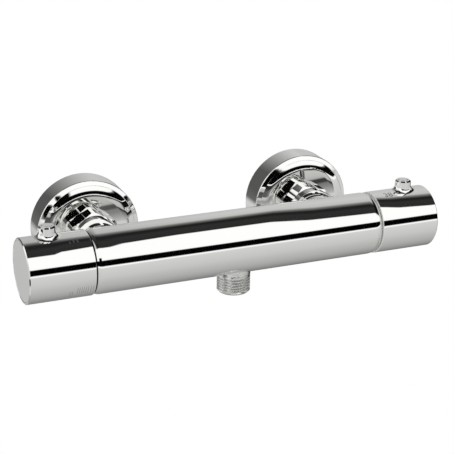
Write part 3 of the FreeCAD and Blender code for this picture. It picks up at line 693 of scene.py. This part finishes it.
@dataclass
class CutThread:
    """A pipe thread cut on a CAD node whose own wall is plain, with the rest of the node as it is."""

    node: str
    mount: str
    size: ThreadSize = field(default_factory=ThreadSize)
    steps_round: int = 72
    # how far, in mm, a point may lie beyond the wall's ends and off its radius
    end_margin: float = 0.2
    wall_margin: float = 0.04

    def __post_init__(self) -> None:
        """Take the axis from the mount that the record states, and the ends from the node's wall."""
        stated = next(m for m in frame["record"]["mounts"] if m["name"] == self.mount)
        self.along = Vector(stated["axis"]).normalized()
        self.length = stated["dims"]["length_mm"]
        self.start = Vector(stated["pos_m"]) / MM - self.along * self.length / 2
        places = [self.place_of(v.co) for v in frame["nodes"][self.node].data.vertices]
        ends = [p for p in places if p is not None]
        self.start += self.along * min(ends)
        self.length = max(ends) - min(ends)

    def place_of(self, point: Vector) -> float | None:
        """Give how far along the thread a point of the plain wall lies.

        Args:
            point: a point of the node, in metres.

        Returns:
            The distance from the thread's start in mm, or None where the point isn't on that wall.
        """
        distance = (point / MM - self.start).dot(self.along)
        away = (point / MM - self.start - self.along * distance).length
        near = -self.end_margin < distance < self.length + self.end_margin
        return distance if near and abs(away - self.size.outer_radius) < self.wall_margin else None

    def ring(self, step: int) -> list[Vector]:
        """Give the points of the thread's form at one step of its helix.

        Args:
            step: how many steps from the first turn.

        Returns:
            One point for each place of the form, in metres.
        """
        out = outwards_of(self.along, step, self.steps_round)
        points = []
        for offset, share in self.size.form:
            distance = (step / self.steps_round + offset) * self.size.pitch
            distance = min(max(distance, 0.0), self.length)
            fade = min(1.0, distance / self.size.fade_in, (self.length - distance) / self.size.fade_out)
            radius = self.size.outer_radius - self.size.depth * share * fade
            points.append((self.start + self.along * distance + out * radius) * MM)
        return points

    def wall(self) -> tuple[list[Vector], list[list[int]]]:
        """Draw the thread's wall, with its depth fading out at both ends.

        Returns:
            The points and the faces.
        """
        steps = (math.ceil(self.length / self.size.pitch) + 2) * self.steps_round
        width = len(self.size.form)
        points = [p for step in range(steps) for p in self.ring(step - self.steps_round)]
        faces = []
        for step in range(steps - 1):
            here, ahead = step * width, (step + 1) * width
            faces += [[here + i, ahead + i, ahead + i + 1, here + i + 1] for i in range(width - 1)]
            above = here + self.steps_round * width
            if above + width < steps * width:
                faces.append([here + width - 1, ahead + width - 1, above + width, above])
        return points, faces

    def build(self, name: str) -> None:
        """Replace the node by itself with the thread cut in it.

        Args:
            name: the new piece's name.
        """
        build = bmesh.new()
        build.from_mesh(frame["nodes"][self.node].data)
        bmesh.ops.remove_doubles(build, verts=build.verts, dist=WELD * MM)
        plain = [f for f in build.faces if all(self.place_of(v.co) is not None for v in f.verts)]
        bmesh.ops.delete(build, geom=plain, context="FACES")
        points, faces = self.wall()
        made = [build.verts.new(p) for p in points]
        for face in faces:
            build.faces.new([made[i] for i in face])
        bmesh.ops.remove_doubles(build, verts=made, dist=WELD / 2 * MM)
        bmesh.ops.recalc_face_normals(build, faces=build.faces)
        mesh = bpy.data.meshes.new(name)
        build.to_mesh(mesh)
        build.free()
        piece = add_piece(name, mesh, "valve", THREAD)
        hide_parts(self.node)
        smooth(piece, crease_deg=35.0)


@dataclass
class CoilSpring:
    """A coil of round wire with closed, ground ends."""

    node: str
    wire: float
    turns: float = 4.0
    closed_turns: float = 0.8
    # how high the wire's middle lies over its ground end, as a share of the wire
    ground: float = 0.3
    steps_round: int = 28
    sides: int = 10

    def __post_init__(self) -> None:
        """Read from the record which joint presses the spring, along which axis, and where it stands."""
        for joint in frame["joints"]:
            for stated in joint.get("deforming_nodes", []):
                if stated["node"] == self.node:
                    self.joint, letter = joint["name"], stated["mode"][-1]
                    self.fixed_end = stated[f"fixed_end_{letter}_m"]
                    self.travel = max(abs(end) for end in joint["range_m"])
                    self.axis = "xyz".index(letter)
        bodies = frame["record"]["behaviour"]["bodies"]
        self.body = next(body for body, nodes in bodies.items() if self.node in nodes)
        self.along = Vector([float(i == self.axis) for i in range(3)])
        self.low, self.high = (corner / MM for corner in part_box(self.node))
        self.length = self.high[self.axis] - self.low[self.axis]

    def height(self, turn: float) -> float:
        """Give how high the wire's middle stands after some turns.

        Args:
            turn: how many turns from the spring's start.

        Returns:
            The height in mm, which grows slowly in the closed turns at both ends.
        """
        start = self.ground * self.wire
        closed = self.closed_turns * self.wire
        open_rise = (self.length - 2 * start - 2 * closed) / self.turns
        climbed = min(max(turn - self.closed_turns, 0.0), self.turns)
        return start + (turn - climbed) * self.wire + climbed * open_rise

    def ring(self, step: int) -> list[Vector]:
        """Give the points round the wire at one step of the coil.

        Args:
            step: how many steps from the spring's start.

        Returns:
            The points, in metres.
        """
        radius = (self.high - self.low)[(self.axis + 1) % 3] / 2 - self.wire / 2
        base = (self.low + self.high) / 2 - self.along * self.length / 2
        out = outwards_of(self.along, step, self.steps_round)
        middle = self.height(step / self.steps_round)
        points = []
        for number in range(self.sides):
            turn = 2 * math.pi * number / self.sides
            away = radius + math.cos(turn) * self.wire / 2
            place_mm = min(max(middle + math.sin(turn) * self.wire / 2, 0.0), self.length)
            points.append((base + out * away + self.along * place_mm) * MM)
        return points

    def build(self) -> None:
        """Wind the spring in its node's place."""
        steps = round((self.turns + 2 * self.closed_turns) * self.steps_round)
        points = [p for step in range(steps + 1) for p in self.ring(step)]
        faces = []
        for here in range(0, steps * self.sides, self.sides):
            for number in range(self.sides):
                ahead = (number + 1) % self.sides
                corners = (number, ahead, ahead + self.sides, number + self.sides)
                faces.append([here + corner for corner in corners])
        faces += [list(range(self.sides)), list(range(steps * self.sides, (steps + 1) * self.sides))]
        name, slot = f"{self.node}_coil", SLOT_OF_NODE[self.node]
        piece = add_piece(name, mesh_of(name, points, faces), self.body, FINISH_OF_SLOT[slot])
        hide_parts(self.node)
        smooth(piece, crease_deg=50.0)
        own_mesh(piece)


def finely_cut(flat: Mesh, step: float = 0.7) -> Mesh:
    """Divide a flat drawing into small faces, so that it can be wrapped round the bar.

    Args:
        flat: the drawing.
        step: the longest edge that it keeps, in mm.

    Returns:
        The same mesh.
    """
    build = bmesh.new()
    build.from_mesh(flat)
    bmesh.ops.triangulate(build, faces=build.faces)
    for _ in range(4):
        long = [e for e in build.edges if e.calc_length() > step]
        if not long:
            break
        bmesh.ops.subdivide_edges(build, edges=long, cuts=1)
        bmesh.ops.triangulate(build, faces=build.faces)
    build.to_mesh(flat)
    build.free()
    return flat


def figures(words: str, height: float) -> Mesh:
    """Draw plain figures, centred on the origin.

    Args:
        words: the figures.
        height: how tall they are, in mm.

    Returns:
        The flat mesh, in mm.
    """
    curve = bpy.data.curves.new("figures_" + words, "FONT")
    curve.body = words
    curve.align_x = "CENTER"
    curve.align_y = "CENTER"
    # a figure is 0.7 as tall as its letter size
    curve.size = height / 0.7
    curve.offset = 0.03
    holder = put("figures", curve)
    bpy.context.view_layer.update()
    mesh = bpy.data.meshes.new_from_object(holder)
    bpy.data.objects.remove(holder)
    return finely_cut(mesh)


def strokes(sizes: list[tuple[float, float, float, float]]) -> Mesh:
    """Draw flat upright strokes.

    Args:
        sizes: each stroke's left edge, foot, width and height, in mm.

    Returns:
        The flat mesh, in mm.
    """
    mesh = bpy.data.meshes.new("strokes")
    points = []
    for left, foot, width, height in sizes:
        points += [(left + x * width, foot + y * height, 0.0) for x, y in ((0, 0), (1, 0), (1, 1), (0, 1))]
    mesh.from_pydata(points, [], [list(range(i, i + 4)) for i in range(0, len(points), 4)])
    return finely_cut(mesh)


# ---- the object's sub-assemblies ----------------------------------------------------------------


@dataclass
class Bar:
    """The body of the valve and the hose outlet under its middle.

    Its shading is made round outside one radius, and inside another its end faces have the seams' finish, both in
    mm: painted shade on the left one, ground chrome on the right one.
    """

    round_from: float = 18.0
    seam_to: float = 18.5

    def build(self) -> None:
        """Dress the body, and cut the hose thread on the outlet."""
        # the body's chrome carries painted shade by its left seam
        body = dress("valve_body", SHADED_BAR_CHROME)
        polish_round(body, ALONG_BAR, BAR_CENTRE, self.round_from)
        # painted shade on the left end face in the seam, and satin ground chrome on the right one
        finish_ends(body, self.seam_to, {Side.LEFT: SEAM_SHADE, Side.RIGHT: GROUND})
        CutThread("outlet_nipple", "outlet_thread").build("outlet_thread")
        dress("outlet_seal")


@dataclass
class WallInlet:
    """One wall connection: cover plate, crank union, nut, and the nipple with its valve and filter."""

    side: Side
    water: str

    def build(self) -> None:
        """Dress the inlet's nodes, wind its spring, and cut the wall thread on its union."""
        tag = self.side.name.lower()
        for part in ("wall_flange", "union_nut"):
            low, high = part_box(f"{part}_{tag}")
            polish_round(dress(f"{part}_{tag}"), TO_WALL, (low + high) / 2 / MM)
        dress(f"inlet_nipple_{tag}", UNION_BRASS)
        for part in ("inlet_washer", "inlet_filter", "check_valve_housing", "check_valve_poppet"):
            dress(f"{part}_{tag}")
        CoilSpring(f"check_valve_spring_{tag}", wire=0.5).build()
        CutThread(f"eccentric_union_{tag}", f"{self.water}_inlet_thread").build(f"wall_thread_{tag}")


@dataclass
class Thermostat:
    """The cartridge that mixes hot and cold water, inside the right end of the bar."""

    nodes: tuple[str, ...] = (
        "cartridge_housing", "cartridge_o_rings", "cartridge_bonnet", "cartridge_retaining_nut",
        "regulating_shuttle", "wax_element", "regulating_screw", "overload_plunger", "overload_spring",
        "temperature_spindle", "temperature_spindle_seals", "temperature_spindle_clip",
        "temperature_stop_ring",
    )

    def build(self) -> None:
        """Dress the cartridge's nodes and wind its return spring."""
        for node in self.nodes:
            dress(node)
        CoilSpring("return_spring", wire=1.1).build()


@dataclass
class CeramicHeadwork:
    """The flow valve with its two ceramic discs, inside the left end of the bar."""

    nodes: tuple[str, ...] = (
        "headwork_body", "headwork_seat_seal", "fixed_ceramic_disc", "moving_ceramic_disc", "flow_spindle",
        "flow_spindle_seals", "flow_spindle_clip", "flow_stop_ring",
    )

    def build(self) -> None:
        """Dress the headwork's nodes."""
        for node in self.nodes:
            dress(node)


@dataclass
class Handle(ABC):
    """A handle at an end of the bar, with its cap, peg, button, insert and screw.

    Its shading is made round outside a radius, and its marks stand proud of another, in mm.
    """

    side: Side
    work: str
    radius: float = 19.75
    round_from: float = 17.0
    proud: float = 0.012

    @abstractmethod
    def marks(self) -> dict[str, Mesh]:
        """Give the marks etched on the handle, as meshes in the row frame."""

    def wrap(self, name: str, flat: Mesh, middle: float, angle: float, downwards: bool = False) -> Mesh:
        """Wrap a flat drawing round the handle.

        Args:
            name: the new mesh's name.
            flat: the drawing, in mm, in the plane of its X and Y.
            middle: where its origin lies along the bar, in mm.
            angle: where its origin lies round the bar, in degrees from the top towards the front.
            downwards: whether its Y points away from the top of the bar.

        Returns:
            The wrapped mesh, in the row frame.
        """
        mesh = flat.copy()
        mesh.name = name
        for point in mesh.vertices:
            climb = point.co.y / self.radius
            turn = math.radians(angle) + (climb if downwards else -climb)
            out = Vector((0.0, -math.sin(turn), math.cos(turn))) * (self.radius + self.proud)
            point.co = (Vector((middle + point.co.x, AXIS_Y, AXIS_Z)) + out) * MM
        return mesh

    def build(self) -> None:
        """Dress the handle's nodes, wind its spring and add its marks."""
        for part in ("handle", "end_cap"):
            polish_round(dress(f"{self.work}_{part}"), ALONG_BAR, BAR_CENTRE, self.round_from)
        if self.side is Side.RIGHT:
            shell = frame["nodes"][f"{self.work}_handle"]
            finish_ends(shell, self.radius, {self.side: GROUND}, facing=0.15)
        for part in ("handle_insert", "handle_screw", "button"):
            dress(f"{self.work}_{part}")
        CoilSpring(f"{self.work}_button_spring", wire=0.5).build()
        for name, mesh in self.marks().items():
            finish = FAINT if name == "flow_scale" else ETCHED
            add_piece(name, mesh, f"{self.work}_handle", finish)


@dataclass
class TemperatureHandle(Handle):
    """The right handle, with its figure for the safe bathing temperature."""

    side: Side = Side.RIGHT
    work: str = "temperature"
    number_place: float = 104.6
    number_angle: float = 15.0
    number_height: float = 4.4

    def marks(self) -> dict[str, Mesh]:
        """Give the figure 38, read from the front.

        Returns:
            The mesh by its piece's name.
        """
        name, flat = "temperature_figure", figures("38", self.number_height)
        return {name: self.wrap(name, flat, self.number_place, self.number_angle)}


@dataclass
class FlowHandle(Handle):
    """The left handle, with a small flow mark on top and a row of fine lines underneath.

    Sizes are in mm and angles in degrees from the top towards the front.
    """

    side: Side = Side.LEFT
    work: str = "flow"
    mark_place: float = -104.4
    mark_angle: float = 25.0
    stroke_left: float = -3.2
    stroke_foot: float = -1.7
    stroke_step: float = 2.3
    stroke_width: float = 1.2
    stroke_height: float = 1.4
    stroke_growth: float = 1.0
    scale_low: float = 112.0
    scale_high: float = 136.0
    line_width: float = 0.3
    line_share: float = 0.7
    lines: tuple[float, ...] = (-110.0, -108.6, -105.6, -104.4, -103.1, -101.9, -100.6, -99.3, -97.7, -96.2)

    def marks(self) -> dict[str, Mesh]:
        """Give the flow mark, a wedge of three strokes that grow, and the lines underneath.

        Returns:
            The meshes by their pieces' names.
        """
        wedge, scale = [], []
        for number in range(3):
            left = self.stroke_left + self.stroke_step * number
            height = self.stroke_height + self.stroke_growth * number
            wedge.append((left, self.stroke_foot, self.stroke_width, height))
        tall = math.radians(self.scale_high - self.scale_low) * self.radius
        for number, left in enumerate(self.lines):
            # the two outermost lines lie a third of the scale lower than the others
            foot = tall / 3 if number < 2 else 0.0
            scale.append((left, foot, self.line_width, tall * self.line_share))
        return {
            "flow_mark": self.wrap("flow_mark", strokes(wedge), self.mark_place, self.mark_angle),
            "flow_scale": self.wrap("flow_scale", strokes(scale), 0.0, self.scale_low, downwards=True),
        }


# ---- the studio ---------------------------------------------------------------------------------

# What a mirror sees round the bar, as pairs of a place and a grey. The place is an angle in degrees: 0 is in
# front, 90 above, 180 at the wall and -90 below, so each room runs from the wall, under the bar, back to it.

# round the middle: the floor, a strip of light, the black card in front, the white panel, the dark card above
MIDDLE: Greys = (
    (-180, 192), (-168, 180), (-160, 60), (-146, 60), (-136, 122), (-120, 135), (-100, 157), (-80, 173),
    (-60, 184), (-40, 197), (-20, 204), (-8, 208), (-5.5, 222), (-4, 253), (-0.5, 253),
    (0.8, 10), (4, 2), (19.5, 2), (20.8, 252), (30, 255), (74, 255),
    (75.5, 34), (80, 42), (96, 46), (106, 30), (112, 38), (122, 120), (130, 190), (150, 200), (180, 192),
)
# left of the middle: the floor's side and the wall's side, which the next two rooms share
LEFT_FLOOR: Greys = (
    (-180, 84), (-166, 100), (-160, 206), (-140, 190), (-120, 150), (-90, 168), (-45, 196),
    (-8, 206), (-3, 250), (-0.5, 250), (1.0, 6),
)
LEFT_WALL: Greys = ((132, 70), (157, 84), (180, 84))
# the black card in front stands taller here, and a dark one hangs behind
TALL_CARD: Greys = (*LEFT_FLOOR, (32, 6), (34, 252), (74, 255), (77, 30), (111, 46), *LEFT_WALL)
# more to the left only the card behind is left, and the top is light
LIGHT_TOP: Greys = (*LEFT_FLOOR, (19.5, 2), (20.8, 252), (74, 255), (80, 200), (118, 190), *LEFT_WALL)
# farther to the left a white panel with, at its far edge, a narrow dark card
LEFT_PANEL: Greys = ((-180, 248), (-132, 240), (-110, 205), (0, 214), (20, 250), (180, 250))
LEFT_CARD: Greys = ((-180, 248), (-125, 248), (-115, 6), (-48, 6), (-38, 205), (180, 250))
# far to the right the front as it is, and dark above and behind
RIGHT_END: Greys = (
    (-180, 20), (-118, 12), (-104, 120), (-60, 184), (-8, 208), (-4, 253), (-0.5, 253),
    (0.8, 10), (19.5, 2), (20.8, 252), (68, 255), (76, 10), (180, 20),
)
# both ends of the room are one even grey
ROOM_END: Greys = ((-180, 205), (180, 205))


def share_of_turn(angle: float) -> float:
    """Give the place from 0 to 1 of an angle from -180 to 180 degrees."""
    return (angle + 180) / 360


@dataclass(frozen=True)
class Zone:
    """A stretch of the room with its own greys.

    Its start and full strength are given as how far to the right a direction points, from -1 to 1.
    """

    start: float
    full: float
    greys: Greys


@dataclass(frozen=True)
class CardSlope:
    """A slope of the dark card above: how many degrees lower it hangs, and whether its upper edge stays.

    Its start and its full depth are given as how far to the right a direction points, from -1 to 1.
    """

    start: float
    full: float
    degrees: float
    top_stays: bool = False


@dataclass(frozen=True)
class SoftLamp:
    """A square lamp that mirrors don't show: its place and width in metres, and its power in watts."""

    name: str
    spot: tuple[float, float, float]
    power: float
    width: float = 0.9

    def hang(self, target: Vector) -> None:
        """Hang the lamp so that it looks at a point.

        Args:
            target: the point, in metres.
        """
        data = bpy.data.lights.new(self.name, "AREA")
        data.energy = self.power
        data.size = self.width
        lamp = put(self.name, data)
        lamp.location = self.spot
        lamp.rotation_mode = "QUATERNION"
        lamp.rotation_quaternion = (target - Vector(self.spot)).to_track_quat("-Z", "Y")
        lamp.visible_glossy = False
        lamp.visible_camera = False


@dataclass
class Studio:
    """The white room round the object: soft panels in front, a dark card above, a pale floor below."""

    # the camera, with its place in mm and its angles in radians
    lens_mm: float = 102.35
    eye: Vector = field(default_factory=lambda: Vector((-297.13, -756.77, 288.62)))
    yaw: float = 0.4059
    pitch: float = 0.3608
    roll: float = 0.0148
    # how far the floor lies below the row frame's origin and reaches to each side, in mm
    floor_drop: float = 900.0
    floor_reach: float = 6000.0
    # how bright the room is for mirrors, and for all else
    mirrored_strength: float = 1.06
    plain_strength: float = 0.78
    # how far towards the wall a direction points, from -1 to 1, where the room turns from front to back
    behind: Range = (0.5, 0.65)
    # how far to the right it points where the tall card gives way to the middle, in front and at the back
    tall_card_front: Range = (-0.09, -0.04)
    tall_card_behind: Range = (-0.35, 0.37)
    # between which angles a slope sets in below the dark card above, and fades out at its upper edge
    lower_edge: Range = (24, 44)
    upper_edge: Range = (116, 84)
    card_slopes: tuple[CardSlope, ...] = (
        CardSlope(0.415, 0.45, 13.0),
        CardSlope(0.45, 0.505, 7.0),
        CardSlope(0.33, 0.285, 4.0, top_stays=True),
        CardSlope(0.28, 0.268, 7.0, top_stays=True),
    )
    zones: tuple[Zone, ...] = (
        Zone(-0.39, -0.42, LIGHT_TOP),
        Zone(-0.62, -0.7, LEFT_PANEL),
        Zone(-0.84, -0.88, LEFT_CARD),
        Zone(0.62, 0.72, RIGHT_END),
        Zone(-0.94, -0.98, ROOM_END),
        Zone(0.9, 0.96, ROOM_END),
    )
    soft_lamps: tuple[SoftLamp, ...] = (
        SoftLamp("soft_lamp_left", (-0.9, -1.1, 1.2), 9.0),
        SoftLamp("soft_lamp_right", (1.1, -0.7, 0.8), 5.0),
    )

    def build(self) -> None:
        """Set up the world, floor, lamps, camera and colour."""
        self.world()
        self.floor()
        for lamp in self.soft_lamps:
            lamp.hang(BAR_CENTRE * MM)
        self.camera()
        bpy.context.scene.view_settings.view_transform = "Standard"
        log.info("studio is set")

    def world(self) -> None:
        """Make the room: white behind the object, and its panels and cards where a mirror sees them."""
        world = bpy.data.worlds.new("studio_room")
        bpy.context.scene.world = world
        nodes = Nodes(world)
        way = nodes.add("TexCoord").outputs["Generated"]
        along, depth, height = nodes.add("SeparateXYZ", {0: way}).outputs
        front = nodes.add("Math", {0: depth, 1: -1.0}, operation="MULTIPLY").outputs[0]
        angle = nodes.add("Math", {0: height, 1: front}, operation="ARCTAN2").outputs[0]
        turn = self.sloped_card(nodes, along, nodes.spread(angle, -math.pi, math.pi))
        ends = {
            0: nodes.spread(depth, *self.behind),
            2: nodes.spread(along, *self.tall_card_front),
            3: nodes.spread(along, *self.tall_card_behind),
        }
        share = nodes.add("Mix", ends, data_type="FLOAT").outputs[0]
        seen = nodes.blend(share, self.ramp(nodes, turn, TALL_CARD), self.ramp(nodes, turn, MIDDLE))
        for zone in self.zones:
            share = nodes.spread(along, zone.start, zone.full)
            seen = nodes.blend(share, seen, self.ramp(nodes, turn, zone.greys))
        self.sight(nodes, seen)

    def sloped_card(self, nodes: Nodes, along: Socket, turn: Socket) -> Socket:
        """Let the dark card above hang lower towards both of its ends.

        Args:
            nodes: the world's nodes.
            along: how far to the right the direction points.
            turn: the angle round the bar, from 0 to 1.

        Returns:
            The angle at which the ramps are read.
        """
        rise = nodes.spread(turn, *(share_of_turn(angle) for angle in self.lower_edge))
        fall = nodes.spread(turn, *(share_of_turn(angle) for angle in self.upper_edge))
        both = nodes.add("Math", {0: rise, 1: fall}, operation="MULTIPLY").outputs[0]
        for slope in self.card_slopes:
            share = nodes.spread(along, slope.start, slope.full)
            part = both if slope.top_stays else rise
            drop = nodes.add("Math", {0: share, 1: part}, operation="MULTIPLY").outputs[0]
            terms = {0: drop, 1: slope.degrees / 360, 2: turn}
            turn = nodes.add("Math", terms, operation="MULTIPLY_ADD").outputs[0]
        return turn

    def ramp(self, nodes: Nodes, turn: Socket, greys: Greys) -> Socket:
        """Give the greys round the bar as a colour.

        Args:
            nodes: the world's nodes.
            turn: the angle round the bar, from 0 to 1.
            greys: the places and greys.

        Returns:
            The colour in each direction.
        """
        ramp = nodes.add("ValToRGB", {0: turn})
        stops = ramp.color_ramp.elements
        for number, (angle, level) in enumerate(greys):
            # a new ramp has two stops from the start
            stop = stops[number] if number < 2 else stops.new(share_of_turn(angle))
            stop.position = share_of_turn(angle)
            stop.color = grey(level)
        return ramp.outputs[0]

    def sight(self, nodes: Nodes, room: Socket) -> None:
        """Show white to the eye, the room to mirrors and glass, and an even light to everything else.

        Args:
            nodes: the world's nodes.
            room: the room's colour in each direction.
        """
        path = nodes.add("LightPath").outputs
        rays = {0: path["Is Glossy Ray"], 1: path["Is Transmission Ray"]}
        mirrored = nodes.add("Math", rays, operation="MAXIMUM").outputs[0]
        light, seen, white = (
            nodes.add("Background", {"Color": colour, "Strength": strength}).outputs[0]
            for colour, strength in (
                (grey(255), self.plain_strength),
                (room, self.mirrored_strength),
                (grey(255), 1.0),
            )
        )
        lit = nodes.add("MixShader", {0: mirrored, 1: light, 2: seen}).outputs[0]
        shown = nodes.add("MixShader", {0: path["Is Camera Ray"], 1: lit, 2: white}).outputs[0]
        nodes.add("OutputWorld", {0: shown})

    def floor(self) -> None:
        """Make the pale floor: white to the eye, and unseen by mirrors, which show the room's lower half."""
        points = []
        for x, y in ((-1, -1), (1, -1), (1, 1), (-1, 1)):
            points.append(Vector((x * self.floor_reach, y * self.floor_reach, -self.floor_drop)) * MM)
        floor = put("floor", mesh_of("floor", points, [[0, 1, 2, 3]]))
        material = bpy.data.materials.new("studio_floor_painted_white")
        nodes = Nodes(material)
        eye = nodes.add("LightPath").outputs["Is Camera Ray"]
        paint = nodes.add("BsdfDiffuse", {"Color": linear("f2f2f0")}).outputs[0]
        white = nodes.add("Emission", {"Color": grey(255), "Strength": 1.0}).outputs[0]
        seen = nodes.add("MixShader", {0: eye, 1: paint, 2: white}).outputs[0]
        nodes.add("OutputMaterial", {"Surface": seen})
        floor.data.materials.append(material)
        floor.visible_glossy = False

    def camera(self) -> None:
        """Stand the camera where the photograph was taken from."""
        data = bpy.data.cameras.new("photo_camera")
        data.lens = self.lens_mm
        data.sensor_width = 36.0
        data.clip_start = 0.05
        data.clip_end = 30.0
        camera = put("photo_camera", data)
        bpy.context.scene.camera = camera
        flat = math.cos(self.pitch)
        gaze = Vector((math.sin(self.yaw) * flat, math.cos(self.yaw) * flat, -math.sin(self.pitch)))
        level = Vector((math.cos(self.yaw), -math.sin(self.yaw), 0.0))
        above = level.cross(gaze)
        right = level * math.cos(self.roll) + above * math.sin(self.roll)
        top = above * math.cos(self.roll) - level * math.sin(self.roll)
        turn = Matrix((right, top, -gaze)).transposed()
        camera.matrix_world = Matrix.Translation(self.eye * MM) @ turn.to_4x4()


def main() -> None:
    """Build the valve piece by piece, and the studio round it."""
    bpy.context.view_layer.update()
    for part in (
        Bar(),
        WallInlet(Side.LEFT, "hot"),
        WallInlet(Side.RIGHT, "cold"),
        Thermostat(),
        CeramicHeadwork(),
        FlowHandle(),
        TemperatureHandle(),
        Studio(),
    ):
        log.info("building %s", type(part).__name__)
        part.build()


if __name__ == "__main__":
    main()
